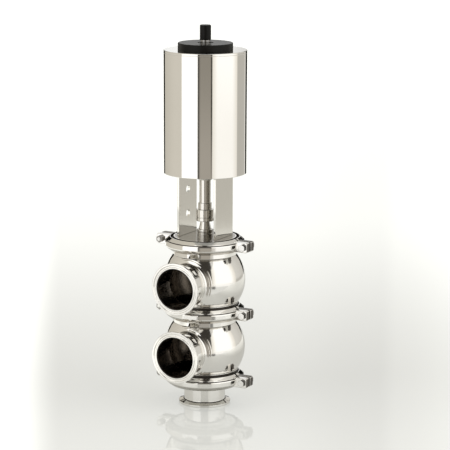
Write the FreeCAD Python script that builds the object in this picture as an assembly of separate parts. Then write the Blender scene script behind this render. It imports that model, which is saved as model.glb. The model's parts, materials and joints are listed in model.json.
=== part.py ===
import FreeCAD
import Part
import math
import os

# Pneumatic seat valve on two ball bodies, standing on its bottom ferrule.
# Millimetres, +Z up along the stem, origin at the centre of the bottom ferrule's face.
# The side ports point along -Y, the yoke plates and the clamp ears lie at +X and -X.

V = FreeCAD.Vector
UP = V(0, 0, 1)
FRONT = V(0, -1, 0)

# Line size: clamp ferrules on the ports and between the bodies
tube_r = 25.5
tube_wall = 1.2
bore_r = tube_r - tube_wall
ferrule_r = 32.0
ferrule_rim = 2.85
flange_r = 45.5
flange_rim = 2.85
flange_slope = math.tan(math.radians(20))
hub_r = 39.0
collar_r = 41.6
hub_bore_r = 36.45
joint_gap = 2.4
groove_r = 1.5

# Ball bodies, with the heights of the flanges welded under and on top of them
ball_r = 50.0
ball_wall = 1.6
under_height = 11.76
top_height = 14.21
weld_low = math.sqrt(ball_r ** 2 - collar_r ** 2)
weld_high = math.sqrt(ball_r ** 2 - hub_r ** 2)
ball_rise = under_height + weld_low
port_reach = ball_r + 24.0
neck_fillet = 3.5
bottom_stub = 3.0

# Heights of the three clamp joints
joint_pitch = ball_rise + weld_high + top_height
joint_z = [33.0 + i * joint_pitch for i in range(3)]

# V-band clamps with two ears
clamp_half = 8.0
clamp_lip_r = collar_r + 0.7
clamp_r = 49.0
clamp_gap = 3.0
ear_root = clamp_r - 3.2
ear_reach = 63.5
ear_half = 6.2
ear_front = 9.0
bolt_inset = 5.8
bolt_x = ear_reach - bolt_inset
bolt_r = 2.5
bolt_af = 8.0
head_height = 3.6
nut_height = 4.4

# Fits
slip = 0.25
run = 0.05
seat_gap = 0.3

# Seats, plug and stem
stroke = 27.0
seat_out = 29.0
seat_in = 25.0
seat_rise = 2.0
boss_r = hub_bore_r - slip
ring_half = 6.0
plug_r = 28.6
plug_waist_r = 12.0
plug_spigot_r = 6.0
stem_r = 7.5
stem_top_r = 5.6
stem_head_r = 7.4

# Bonnet, gland and yoke
disc_top = joint_z[2] + 8.2
gland_r = 9.65
gland_top = disc_top + 8.6
yoke_in = 24.0
yoke_t = 3.0
yoke_half = 21.5
yoke_top = disc_top + 78.8
sensor_r = 4.7
sensor_z = [disc_top + 25.7, disc_top + 56.1]

# Coupling
cone_low = gland_top + 0.4
cone_high = cone_low + 9.4
couple_low = cone_high + 0.4
couple_mid = couple_low + 14.6
couple_high = couple_mid + 8.0
couple_r = 10.95
couple_collar_r = 8.4
couple_turn = -26.0

# Actuator
act_r = 50.8
act_wall = 2.1
act_in = act_r - act_wall
base_t = 13.0
tube_top = yoke_top + 147.5
cover_t = 3.0
cover_top = tube_top + cover_t
cover_spigot = 4.0
rod_r = 7.0
rod_thread_r = 5.5
piston_low = yoke_top + base_t + 1.5
piston_t = 12.0
nut_t = 7.0
inlet_r = 4.4
inlet_y = 33.0
inlet_depth = 9.5
spring_wire = 4.0
spring_mean = 34.0
spring_turns = 6.5

# Cap and position indicator
cap_r = 33.5
cap_t = 8.5
cap_top = cover_top + cap_t
indicator_r = 5.8
knob_r = 6.85
knob_low = cap_top + 3.2
knob_height = 18.3
knob_top = knob_low + knob_height
knob_spigot = 11.0


def revolve(points):
    """Closed ring or solid of revolution about Z from (radius, height) points."""
    loop = [V(r, 0, z) for r, z in points]
    return Part.Face(Part.makePolygon(loop + [loop[0]])).revolve(V(0, 0, 0), UP, 360)


def tube(r_out, r_in, low, high):
    """Plain ring between two heights."""
    return revolve([(r_in, low), (r_out, low), (r_out, high), (r_in, high)])


def rod(r, start, direction, length):
    return Part.makeCylinder(r, length, start, direction)


def box(low, high):
    size = high - low
    return Part.makeBox(size.x, size.y, size.z, low)


def fillet_ring(shape, radius, test):
    """Round the circular edges that pass the test."""
    edges = [e for e in shape.Edges if test(e)]
    return shape.makeFillet(radius, edges)


def circle_at(edge, r, z=None, y=None):
    """True when the edge is a full circle of that radius at that height or depth."""
    curve = edge.Curve
    if not isinstance(curve, Part.Circle) or abs(curve.Radius - r) > 0.01:
        return False
    if z is not None and abs(curve.Center.z - z) > 0.01:
        return False
    return y is None or abs(curve.Center.y - y) < 0.01


def hexagon(af, start, direction, height):
    """Hexagonal prism across flats af, along a direction."""
    r = af / math.sqrt(3)
    points = [V(r * math.cos(math.radians(60 * i)), r * math.sin(math.radians(60 * i)), 0)
              for i in range(7)]
    prism = Part.Face(Part.makePolygon(points)).extrude(V(0, 0, height))
    prism.Placement = FreeCAD.Placement(start, FreeCAD.Rotation(UP, direction))
    return prism


def chamfered_hex(af, start, direction, height, chamfer=0.7):
    """Hexagon whose outer corners are turned down at the far end."""
    r = af / math.sqrt(3)
    limit = revolve([(0, 0), (r + 1, 0), (r + 1, height - chamfer - 0.6),
                     (r - chamfer, height), (0, height)])
    limit.Placement = FreeCAD.Placement(start, FreeCAD.Rotation(UP, direction))
    return hexagon(af, start, direction, height).common(limit)


def groove_radius():
    """Radius of the gasket groove in the large flanges."""
    return (hub_bore_r + flange_r) / 2 + 0.6


def slope_drop(r):
    """How far the sloped flange back lies beyond its rim at radius r."""
    return (flange_r - r) * flange_slope


def flange_points(face, side, inner, hub):
    """Outline of a clamp flange: face height, side +1 above the joint, -1 below it, hub radius."""
    rim = face + side * flange_rim
    g = groove_radius()
    return [(inner, face), (g - groove_r, face), (g - 0.75, face + side * 1.2),
            (g + 0.75, face + side * 1.2), (g + groove_r, face), (flange_r, face),
            (flange_r, rim), (hub, rim + side * slope_drop(hub))]


def ferrule_tube(length):
    """Small clamp ferrule standing on z = 0 with its tube going up to a length."""
    g = (bore_r + ferrule_r) / 2
    back_r = tube_r + 2.5
    slope_end = ferrule_rim + (ferrule_r - back_r) * flange_slope
    return [(bore_r + 1.0, 0), (g - 1.6, 0), (g - 0.8, 1.1), (g + 0.8, 1.1), (g + 1.6, 0),
            (ferrule_r - 0.4, 0), (ferrule_r, 0.4), (ferrule_r, ferrule_rim),
            (back_r, slope_end), (tube_r + 1.0, slope_end + 1.6), (tube_r + 0.1, slope_end + 4.2),
            (tube_r, slope_end + 5.2), (tube_r, length), (bore_r, length), (bore_r, 1.0)]


def bottom_under():
    """Height of the bottom flange's lower face."""
    return joint_z[0] - joint_gap / 2 - flange_rim - slope_drop(hub_r) - 1.0


def bottom_ferrule():
    """Bottom port: a clamp ferrule welded under the bottom flange."""
    return revolve(ferrule_tube(bottom_under() - bottom_stub))


def bottom_flange():
    """Flange of the lowest clamp joint with the lower conical seat on top."""
    face = joint_z[0] - joint_gap / 2
    under = bottom_under()
    top = joint_z[0] + seat_rise
    g = groove_radius()
    return revolve([
        (bore_r, under - bottom_stub), (tube_r, under - bottom_stub),
        (tube_r + 0.9, under - 0.3 * bottom_stub), (tube_r + bottom_stub, under),
        (hub_r, under), (hub_r, under + 1.0), (flange_r, face - flange_rim), (flange_r, face),
        (g + groove_r, face), (g + 0.75, face - 1.2), (g - 0.75, face - 1.2),
        (g - groove_r, face), (boss_r, face), (boss_r, top + 0.6), (boss_r - 0.6, top + 1.2),
        (seat_out, top), (seat_in, top - (seat_out - seat_in)), (seat_in, top - 7.5),
        (bore_r, top - 10.0)])


def ball_zone(radius, centre):
    """Solid ball cut flat at its two welds."""
    low = V(math.sqrt(radius ** 2 - weld_low ** 2), 0, -weld_low)
    high = V(math.sqrt(radius ** 2 - weld_high ** 2), 0, weld_high)
    arc = Part.Arc(low, V(radius, 0, 0), high).toShape()
    flats = Part.makePolygon([high, V(0, 0, weld_high), V(0, 0, -weld_low), low]).Edges
    zone = Part.Face(Part.Wire([arc] + flats)).revolve(V(0, 0, 0), UP, 360)
    zone.translate(V(0, 0, centre))
    return zone


def neck_centre():
    """Radius and distance of the circle that both neck flares are drawn around."""
    r_mid = tube_r + neck_fillet
    far = ball_r + neck_fillet - 0.1
    return r_mid, math.sqrt(far ** 2 - r_mid ** 2)


def neck_solid(centre, flare, end):
    """Solid round the port axis whose side is a round flare that opens into the ball."""
    r_mid, u_mid = neck_centre()
    turn = math.atan2(r_mid, u_mid)

    def on_arc(angle):
        return V(r_mid + flare * math.sin(angle), -u_mid - flare * math.cos(angle), 0)

    first, last = -math.pi / 2, -math.pi + turn
    arc = Part.Arc(on_arc(first), on_arc((first + last) / 2), on_arc(last)).toShape()
    deep = ball_r / 2
    before = [V(0.8 * deep, -deep, 0), V(0, -deep, 0), V(0, -end, 0), V(r_mid - flare, -end, 0)]
    if end > u_mid:
        before.append(on_arc(first))
    edges = Part.makePolygon(before).Edges + [arc]
    edges += Part.makePolygon([on_arc(last), before[0]]).Edges
    neck = Part.Face(Part.Wire(edges)).revolve(V(0, 0, 0), FRONT, 360)
    neck.translate(V(0, 0, centre))
    return neck


def ball_body(index):
    """Ball shell above joint index, with a pulled neck for its side port."""
    centre = joint_z[index] + ball_rise
    weld = neck_centre()[1]
    outer = ball_zone(ball_r, centre).fuse(neck_solid(centre, neck_fillet, weld))
    inner = Part.makeSphere(ball_r - ball_wall, V(0, 0, centre))
    way = neck_solid(centre, neck_fillet + tube_wall, ball_r + 1)
    return outer.cut(inner).cut(way)


def ball_flange(index, side):
    """Clamp flange welded to a ball shell: side -1 under it, side +1 on top of it."""
    centre = joint_z[index] + ball_rise
    if side < 0:
        face, weld, hub = joint_z[index] + joint_gap / 2, centre - weld_low, collar_r
    else:
        face, weld, hub = joint_z[index + 1] - joint_gap / 2, centre + weld_high, hub_r
    return revolve(flange_points(face, -side, hub_bore_r, hub) + [(hub, weld), (hub_bore_r, weld)])


def side_port(index):
    """Clamp ferrule and tube butt-welded to the neck of a ball body."""
    ferrule = revolve(ferrule_tube(port_reach - neck_centre()[1]))
    centre = joint_z[index] + ball_rise
    ferrule.Placement = FreeCAD.Placement(V(0, -port_reach, centre), FreeCAD.Rotation(UP, -FRONT))
    return ferrule


def gasket(low, high, beads):
    """Flat ring between two flanges, with beads in the grooves that face it."""
    ring = tube(flange_r - 0.4, hub_bore_r, low, high)
    g = groove_radius()
    for side in beads:
        z = high if side > 0 else low
        ring = ring.fuse(revolve([(g - 1.25, z), (g - 0.65, z + side * 0.95),
                                  (g + 0.65, z + side * 0.95), (g + 1.25, z)]))
    return ring.removeSplitter()


def seat_ring():
    """Loose ring in the middle joint: upper conical seat underneath, thin rim in the clamp."""
    mid = joint_z[1]
    low, high = mid - ring_half, mid + ring_half
    rim = mid - joint_gap / 2
    cone = seat_out - seat_in
    return revolve([(seat_in, low + cone), (seat_out, low), (boss_r - 0.6, low - 1.0),
                    (boss_r, low - 0.4), (boss_r, rim), (flange_r - 0.4, rim),
                    (flange_r - 0.4, rim + joint_gap / 2), (boss_r, rim + joint_gap / 2),
                    (boss_r, high), (boss_r - 1.2, high), (seat_in + 2.0, high - 1.4),
                    (seat_in, high - 3.4)])


def seal_points(low_seat):
    """Section of the seal ring let into a plug cone: list of (radius, height above the cone)."""
    side = 1 if low_seat else -1
    out = 0.07
    return [(25.2 + out, 25.2 - out, side), (27.4 + out, 27.4 - out, side),
            (25.7, 29.1, side), (23.5, 26.9, side)]


def plug_offset(low_seat):
    """Height of a plug cone at zero radius, one seat gap away from its seat."""
    gap = seat_gap * math.sqrt(2)
    if low_seat:
        return joint_z[0] + seat_rise - seat_out + gap
    return joint_z[1] - ring_half + seat_out - gap - stroke


def plug_seal(low_seat):
    base = plug_offset(low_seat)
    return revolve([(r, base + s * h) for r, h, s in seal_points(low_seat)])


def plug():
    """Double-seated plug: a conical plate at each end of a waist, screwed on the stem."""
    low, high = plug_offset(True), plug_offset(False)
    bottom = low + 23.0
    top = high - 22.0
    shape = revolve([
        (0, bottom), (22.6, bottom), (24.0, low + 24.0), (plug_r, low + plug_r),
        (plug_r, low + plug_r + 2.4), (plug_waist_r + 4.0, low + plug_r + 5.2),
        (plug_waist_r, low + plug_r + 9.0), (plug_waist_r, high - plug_r - 9.0),
        (plug_waist_r + 4.0, high - plug_r - 5.2), (plug_r, high - plug_r - 2.4),
        (plug_r, high - plug_r), (24.0, high - 24.0), (22.6, high - 23.0),
        (stem_r + 2.0, top), (0, top)])
    shape = shape.cut(rod(plug_spigot_r + run, V(0, 0, bottom + 5.0), UP, top - bottom))
    return shape.cut(plug_seal(True)).cut(plug_seal(False))


def valve_stem():
    """Stem with its screwed spigot, the long shank, the cone above the gland and the head."""
    bottom = plug_offset(True) + 23.0
    shoulder = plug_offset(False) - 22.0
    head = couple_low + 3.6
    return revolve([
        (0, bottom + 5.4), (plug_spigot_r, bottom + 5.4), (plug_spigot_r, shoulder),
        (stem_r, shoulder), (stem_r, cone_low), (stem_top_r, cone_high), (stem_top_r, head),
        (stem_head_r, head), (stem_head_r, head + 4.4), (0, head + 4.4)])


def bonnet():
    """Disc that closes the upper body, with the seal housing under it."""
    face = joint_z[2] + joint_gap / 2
    low = face - 4.0
    hub = low - 4.0
    points = [(stem_r + 4.0, hub), (20.0, hub), (23.0, low), (boss_r, low), (boss_r, face)]
    points += flange_points(face, 1, boss_r, hub_r)[1:]
    points += [(hub_r, disc_top - 0.8), (hub_r - 0.8, disc_top), (gland_r + run, disc_top),
               (gland_r + run, face), (stem_r + 4.0, face)]
    return revolve(points)


def stem_seal():
    face = joint_z[2] + joint_gap / 2
    low = face - 8.0
    r_out = stem_r + 4.0 - run
    return revolve([(stem_r + run, low + 1.6), (stem_r + 1.4, low + 0.2), (r_out, low + 0.2),
                    (r_out, face), (stem_r + run, face)])


def gland():
    """Round gland nut that stands on the disc round the stem."""
    face = joint_z[2] + joint_gap / 2
    bush_r = stem_r + 1.3
    return revolve([(bush_r, face + 0.3), (gland_r, face + 0.3), (gland_r, gland_top - 0.6),
                    (gland_r - 0.6, gland_top), (stem_r + 0.35, gland_top),
                    (stem_r + 0.35, gland_top - 1.2), (bush_r, gland_top - 1.2)])


def stem_bush():
    face = joint_z[2] + joint_gap / 2
    return tube(stem_r + 1.3 - run, stem_r + run, face + 0.3, gland_top - 1.2)


def clamp_ring(mid):
    """Whole V-band: sloped flanks outside, a groove inside that matches two flanges."""
    def outer(side):
        return [(clamp_lip_r, side * clamp_half), (clamp_lip_r + 1.0, side * clamp_half),
                (clamp_r - 2.4, side * 5.4), (clamp_r - 0.6, side * 3.9), (clamp_r, side * 2.2)]

    def inner(side):
        rim = joint_gap / 2 + flange_rim + 0.1
        return [(flange_r + 0.5, side * (rim - 0.2)),
                (clamp_lip_r, side * (rim + slope_drop(clamp_lip_r)))]

    points = outer(1)[::-1] + inner(1)[::-1] + inner(-1) + outer(-1)
    return revolve([(r, mid + z) for r, z in points])


def clamp_half_piece(mid, side):
    """One half of a clamp with an ear at each end; side -1 is the front half."""
    ring = clamp_ring(mid)
    span = V(ear_reach, ear_front, ear_half)
    for s in (-1, 1):
        low = V(min(s * ear_root, s * span.x), -span.y, mid - span.z)
        high = V(max(s * ear_root, s * span.x), span.y, mid + span.z)
        ear = box(low, high)
        ear = ear.makeFillet(1.6, [e for e in ear.Edges if abs(e.Vertexes[0].X - e.Vertexes[1].X)
                                   < 0.01 and abs(abs(e.Vertexes[0].X) - span.x) < 0.01])
        core = tube(flange_r + 0.5, 1.0, mid - 9, mid + 9)
        ring = ring.fuse(ear.cut(core))
    reach = 80.0
    edge = side * clamp_gap / 2
    low, high = (-reach, edge) if side < 0 else (edge, reach)
    half = ring.common(box(V(-reach, low, mid - 20), V(reach, high, mid + 20)))
    spot = bolt_af / math.sqrt(3) + 0.5
    for s in (-1, 1):
        half = half.cut(rod(bolt_r + 0.3, V(s * bolt_x, -20, mid), V(0, 1, 0), 40))
        seat = V(s * bolt_x, side * ear_front, mid)
        half = half.cut(rod(spot, seat, V(0, side, 0), 12))
    return half.removeSplitter()


def clamp_fasteners(mid, part):
    """Two opposed bolts with hexagon heads, or their nuts."""
    shapes = []
    for s in (-1, 1):
        way = V(0, s, 0)
        head = V(s * bolt_x, -s * ear_front, mid)
        if part == "bolt":
            shank = rod(bolt_r, head, way, 2 * ear_front + nut_height + 1.5)
            cap_head = chamfered_hex(bolt_af, head, -way, head_height)
            shapes.append(shank.fuse(cap_head).removeSplitter())
        else:
            start = V(s * bolt_x, s * ear_front, mid)
            nut = chamfered_hex(bolt_af, start, way, nut_height)
            shapes.append(nut.cut(rod(bolt_r + run, start - way, way, 8.0)))
    return Part.makeCompound(shapes)


def yoke_plate(side):
    """Flat upright between the bonnet and the actuator; the -X plate takes two sensors."""
    low = V(min(side * yoke_in, side * (yoke_in + yoke_t)), -yoke_half, disc_top)
    high = V(max(side * yoke_in, side * (yoke_in + yoke_t)), yoke_half, yoke_top)
    plate = box(low, high)
    if side < 0:
        for z in sensor_z:
            plate = plate.cut(rod(sensor_r, V(low.x - 1, 0, z), V(1, 0, 0), yoke_t + 2))
    return plate


def coupling_solid():
    """Whole coupling: a body with a narrower collar, bored to grip the stem head and the rod."""
    head = couple_low + 3.6
    return revolve([
        (stem_top_r + run, couple_low), (couple_r - 0.5, couple_low), (couple_r, couple_low + 0.5),
        (couple_r, couple_mid - 0.5), (couple_r - 0.5, couple_mid), (couple_collar_r, couple_mid),
        (couple_collar_r, couple_high - 0.4), (couple_collar_r - 0.4, couple_high),
        (rod_r + run, couple_high), (rod_r + run, head + 9.9), (stem_top_r + run, head + 9.9),
        (stem_top_r + run, head + 7.1), (rod_r + 0.45, head + 7.1), (rod_r + 0.45, head - run),
        (stem_top_r + run, head - run)])


def coupling_screws_whole():
    """Two small cap screws across the split, one each side of the stem's neck."""
    shapes = []
    z = couple_low + 1.9
    for s in (-1, 1):
        way = V(0, -s, 0)
        start = V(s * 8.0, s * 5.6, z)
        screw = rod(1.2, start, way, 10.6).fuse(rod(1.75, start - way * 1.4, way, 1.4))
        shapes.append(screw.removeSplitter())
    return shapes


def coupling_half(side):
    """Half of the split coupling, relieved for the screws."""
    cut_low, cut_high = (-30.0, -0.5) if side < 0 else (0.5, 30.0)
    low, high = V(-30, cut_low, couple_low - 5), V(30, cut_high, couple_high + 5)
    half = coupling_solid().common(box(low, high))
    z = couple_low + 1.9
    for s in (-1, 1):
        way = V(0, -s, 0)
        start = V(s * 8.0, s * 5.6, z)
        half = half.cut(rod(1.25, start, way, 14.0))
        half = half.cut(rod(1.85, start, -way, 8.0))
    half.rotate(V(0, 0, 0), UP, couple_turn)
    return half


def coupling_screws():
    screws = coupling_screws_whole()
    for s in screws:
        s.rotate(V(0, 0, 0), UP, couple_turn)
    return Part.makeCompound(screws)


def actuator_base():
    """Thick disc that closes the cylinder below, with the rod's boss and the air inlet."""
    top = yoke_top + base_t
    bush_r = rod_r + 1.8
    disc = revolve([
        (bush_r, yoke_top - 5.0), (bush_r + 3.0, yoke_top - 5.0), (bush_r + 4.0, yoke_top - 4.0),
        (bush_r + 4.0, yoke_top), (act_in - run, yoke_top), (act_in - run, top - 2.7),
        (act_in - 2.4, top - 2.7), (act_in - 2.4, top - 0.7), (act_in - run, top - 0.7),
        (act_in - run, top), (rod_r + 4.0, top), (rod_r + 4.0, top - 5.0), (bush_r, top - 5.0)])
    mouth = V(0, inlet_y, yoke_top)
    disc = disc.cut(rod(inlet_r, mouth, UP, inlet_depth))
    return disc.cut(rod(0.4 * inlet_r, mouth, UP, base_t + 1))


def base_seal():
    top = yoke_top + base_t
    return tube(act_in - run, act_in - 2.35, top - 2.65, top - 0.75)


def rod_bush():
    """Guide bush whose lower lip shows under the actuator."""
    top = yoke_top + base_t - 5.0
    r_out = rod_r + 1.8 - run
    return revolve([(rod_r + run, yoke_top - 9.0), (r_out - 0.8, yoke_top - 9.0),
                    (r_out - 0.4, yoke_top - 8.4), (r_out - 0.4, yoke_top - 5.4),
                    (r_out, yoke_top - 5.0), (r_out, top), (rod_r + run, top)])


def rod_seal():
    top = yoke_top + base_t
    return tube(rod_r + 4.0 - run, rod_r + run, top - 5.0, top - 0.6)


def actuator_tube():
    """Polished cylinder round the piston."""
    return tube(act_r, act_in, yoke_top, tube_top)


def actuator_cover():
    """Top plate with a spigot in the cylinder and a bored boss for the indicator rod."""
    low = tube_top - cover_spigot
    return revolve([
        (indicator_r + 3.2, low), (act_in - run, low), (act_in - run, tube_top),
        (act_r, tube_top), (act_r, cover_top - 1.0), (act_r - 1.0, cover_top),
        (indicator_r + 3.2, cover_top)])


def cover_bush():
    low = tube_top - cover_spigot
    return tube(indicator_r + 3.2 - run, indicator_r + run, low, cover_top)


def piston():
    """Piston with grooves for its seal and guide band and a recess for the spring."""
    top = piston_low + piston_t
    r = act_in - 0.3
    return revolve([
        (rod_thread_r + run, piston_low), (r - 1.0, piston_low), (r, piston_low + 1.0),
        (r, piston_low + 2.0), (r - 3.5, piston_low + 2.0), (r - 3.5, piston_low + 5.0),
        (r, piston_low + 5.0), (r, piston_low + 7.0), (r - 1.8, piston_low + 7.0),
        (r - 1.8, piston_low + 10.5), (r, piston_low + 10.5), (r, top),
        (spring_mean + spring_wire + 1.5, top), (spring_mean + spring_wire + 1.0, top - 2.0),
        (spring_mean - spring_wire - 1.0, top - 2.0), (spring_mean - spring_wire - 1.5, top),
        (rod_thread_r + run, top)])


def piston_seal():
    r = act_in - 0.3
    return tube(act_in - run, r - 3.45, piston_low + 2.1, piston_low + 4.9)


def piston_band():
    r = act_in - 0.3
    return tube(act_in - run, r - 1.75, piston_low + 7.1, piston_low + 10.4)


def actuator_rod():
    """Rod gripped by the coupling below and screwed through the piston above."""
    head = couple_low + 3.6
    end = piston_low + piston_t + nut_t
    return revolve([
        (0, head + 4.6), (rod_r - 0.5, head + 4.6), (rod_r, head + 5.1), (rod_r, head + 7.0),
        (stem_top_r, head + 7.0), (stem_top_r, head + 10.0), (rod_r, head + 10.0),
        (rod_r, piston_low), (rod_thread_r, piston_low), (rod_thread_r, end),
        (rod_thread_r - 0.6, end + 0.4), (rod_thread_r - 0.6, end + 10.0), (0, end + 10.0)])


def rod_nut():
    low = piston_low + piston_t
    nut = chamfered_hex(19.0, V(0, 0, low), UP, nut_t)
    return nut.cut(rod(rod_thread_r + run, V(0, 0, low - 1), UP, nut_t + 2))


def indicator_rod():
    """Bright rod on top of the actuator rod that carries the knob."""
    low = piston_low + piston_t + nut_t + 0.4
    return revolve([
        (rod_thread_r - 0.6 + run, low), (8.4, low), (9.0, low + 0.6), (9.0, low + 11.0),
        (indicator_r, low + 14.0), (indicator_r, knob_low), (4.0, knob_low),
        (4.0, knob_low + knob_spigot), (0, knob_low + knob_spigot), (0, low + 10.0),
        (rod_thread_r - 0.6 + run, low + 10.0)])


def indicator_knob():
    """Plastic knob with a rounded top, pushed on the rod's spigot."""
    shape = revolve([(0, knob_low), (knob_r, knob_low), (knob_r, knob_top), (0, knob_top)])
    shape = fillet_ring(shape, 1.2, lambda e: circle_at(e, knob_r, z=knob_top))
    return shape.cut(rod(4.0 + run, V(0, 0, knob_low - 1), UP, knob_spigot + 1.2))


def cap():
    """Plastic cap on the cover with a shallow dish round the indicator rod."""
    r = indicator_r + 0.5
    shape = revolve([(r, cover_top), (cap_r, cover_top), (cap_r, cap_top),
                     (r + 3.4, cap_top), (r + 2.6, cap_top - 0.8), (r, cap_top - 0.8)])
    return fillet_ring(shape, 0.8, lambda e: circle_at(e, cap_r, z=cap_top))


def spring():
    """Round-wire compression spring between the piston and the cover, ends ground flat."""
    low = piston_low + piston_t - 2.0 + seat_gap
    high = tube_top - cover_spigot - seat_gap
    length = high - low
    pitch = (length - spring_wire) / spring_turns
    start = low + spring_wire * 0.5
    helix = Part.makeHelix(pitch, pitch * spring_turns, spring_mean)
    helix.translate(V(0, 0, start))
    section = Part.Wire(Part.Circle(V(spring_mean, 0, start), V(0, 1, 0), spring_wire).toShape())
    coil = Part.Wire(helix.Edges).makePipeShell([section], True, True)
    ends = box(V(-60, -60, low), V(60, 60, high))
    return coil.common(ends)


JOINT_NAMES = ["lower", "middle", "upper"]
BODY_NAMES = ["lower", "upper"]


def pieces():
    """Every node of the valve by name."""
    out = {"bottom_ferrule": bottom_ferrule(), "bottom_flange": bottom_flange()}
    for index, name in enumerate(BODY_NAMES):
        out[name + "_body"] = ball_body(index)
        out[name + "_flange_under"] = ball_flange(index, -1)
        out[name + "_flange_top"] = ball_flange(index, 1)
        out[name + "_port"] = side_port(index)
    half_gap = joint_gap / 2
    out["lower_gasket"] = gasket(joint_z[0] - half_gap, joint_z[0] + half_gap, (1, -1))
    out["middle_gasket"] = gasket(joint_z[1], joint_z[1] + half_gap, (1,))
    out["upper_gasket"] = gasket(joint_z[2] - half_gap, joint_z[2] + half_gap, (1, -1))
    out["seat_ring"] = seat_ring()
    for name, mid in zip(JOINT_NAMES, joint_z):
        out[name + "_clamp_front"] = clamp_half_piece(mid, -1)
        out[name + "_clamp_rear"] = clamp_half_piece(mid, 1)
        out[name + "_clamp_bolts"] = clamp_fasteners(mid, "bolt")
        out[name + "_clamp_nuts"] = clamp_fasteners(mid, "nut")
    out.update({
        "bonnet": bonnet(), "gland": gland(), "stem_bush": stem_bush(), "stem_seal": stem_seal(),
        "yoke_left": yoke_plate(-1), "yoke_right": yoke_plate(1),
        "actuator_base": actuator_base(), "base_seal": base_seal(), "rod_bush": rod_bush(),
        "rod_seal": rod_seal(), "actuator_tube": actuator_tube(),
        "actuator_cover": actuator_cover(), "cover_bush": cover_bush(), "cap": cap(),
        "plug": plug(), "plug_seal_lower": plug_seal(True), "plug_seal_upper": plug_seal(False),
        "valve_stem": valve_stem(), "coupling_front": coupling_half(-1),
        "coupling_rear": coupling_half(1), "coupling_screws": coupling_screws(),
        "actuator_rod": actuator_rod(), "piston": piston(), "piston_seal": piston_seal(),
        "piston_band": piston_band(), "rod_nut": rod_nut(), "indicator_rod": indicator_rod(),
        "indicator_knob": indicator_knob(), "spring": spring()})
    return out


os.makedirs("parts", exist_ok=True)
for name, shape in pieces().items():
    bounds = shape.BoundBox
    print(f"{name:20s} valid {shape.isValid()} solids {len(shape.Solids)} volume {shape.Volume:10.1f} "
          f"z {bounds.ZMin:7.2f} {bounds.ZMax:7.2f}")
    shape.exportStep(f"parts/{name}.step")
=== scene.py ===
# %% [markdown]
# A pneumatic seat valve, step by step
#
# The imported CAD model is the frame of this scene. It fixes where every piece of the valve is and how it
# moves. This lesson dresses that frame: turned and pressed steel parts as smooth surfaces, a finish for
# every material, and a small photo studio whose soft boxes show up in the polished steel.

# %% Load the frame
import json
import math
import bmesh
import bpy
import numpy as np
from mathutils import Matrix, Vector


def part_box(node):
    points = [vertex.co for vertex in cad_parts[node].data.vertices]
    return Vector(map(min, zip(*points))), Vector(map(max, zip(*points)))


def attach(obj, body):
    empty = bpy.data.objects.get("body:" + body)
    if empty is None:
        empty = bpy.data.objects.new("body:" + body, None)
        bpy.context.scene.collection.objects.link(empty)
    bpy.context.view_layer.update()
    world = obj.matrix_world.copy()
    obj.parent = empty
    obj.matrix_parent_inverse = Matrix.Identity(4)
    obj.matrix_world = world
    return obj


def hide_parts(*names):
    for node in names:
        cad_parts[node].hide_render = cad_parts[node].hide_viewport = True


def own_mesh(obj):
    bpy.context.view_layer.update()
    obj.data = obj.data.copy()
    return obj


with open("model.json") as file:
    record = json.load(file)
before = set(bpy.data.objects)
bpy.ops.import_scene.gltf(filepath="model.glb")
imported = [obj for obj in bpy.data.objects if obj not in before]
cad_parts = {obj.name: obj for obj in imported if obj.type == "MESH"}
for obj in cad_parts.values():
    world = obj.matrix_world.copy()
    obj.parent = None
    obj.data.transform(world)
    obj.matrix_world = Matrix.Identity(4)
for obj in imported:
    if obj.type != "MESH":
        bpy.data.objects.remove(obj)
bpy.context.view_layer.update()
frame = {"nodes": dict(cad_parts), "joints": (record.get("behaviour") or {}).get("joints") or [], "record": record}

# %% [markdown]
# Sizes
#
# Drawings of such a valve are in millimetres, so the profiles below are too, and one factor turns them into
# Blender's metres. Whatever a node already says about its place is read from the node, and not typed again.

# %% Sizes read from the frame
MM = 0.001


def corners(node):
    """Lowest and highest corner of a CAD node, in millimetres."""
    low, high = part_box(node)
    return np.array(low) / MM, np.array(high) / MM


def middle_of(node):
    """Middle of a CAD node's box, in millimetres."""
    low, high = corners(node)
    return (low + high) / 2


JOINTS = ["lower", "middle", "upper"]
BALLS = ["lower", "upper"]
joint_z = {n: middle_of(n + "_clamp_front")[2] for n in JOINTS}
ball_z = {n: middle_of(n + "_port")[2] for n in BALLS}
port_face = corners("lower_port")[0][1]
port_weld = corners("lower_port")[1][1]
ball_r = corners("lower_body")[1][0]
flange_r = corners("bonnet")[1][0]
ferrule_r = corners("bottom_ferrule")[1][0]
clamp_r = -corners("lower_clamp_front")[0][1]
ear_reach = corners("lower_clamp_front")[1][0]
act_r = min(corners("actuator_tube")[1][:2])
act_low, act_high = corners("actuator_tube")[0][2], corners("actuator_tube")[1][2]
cover_top = corners("actuator_cover")[1][2]
disc_top = corners("bonnet")[1][2]
print("joints at", {n: round(float(z), 2) for n, z in joint_z.items()})
print("balls at", {n: round(float(z), 2) for n, z in ball_z.items()})

# %% Sizes of the tube and of the sloped flanges
TUBE_R, BORE_R, BALL_WALL = 25.5, 24.3, 1.6
RIM, SLOPE = 2.85, math.tan(math.radians(20))
GASKET_HALF = 1.2

# %% [markdown]
# Surfaces as grids
#
# Nearly everything on this valve was turned on a lathe or pressed round an axis. A turned surface is a
# profile of (radius, height) points carried round the axis, and its faces are the cells of a grid with one
# row for each profile point. Polished steel shows every flaw in its normals, so each corner of a profile
# gets a real arc and, just past it, one more point that keeps the flat faces flat in smooth shading.

# %% Grid helpers


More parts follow.
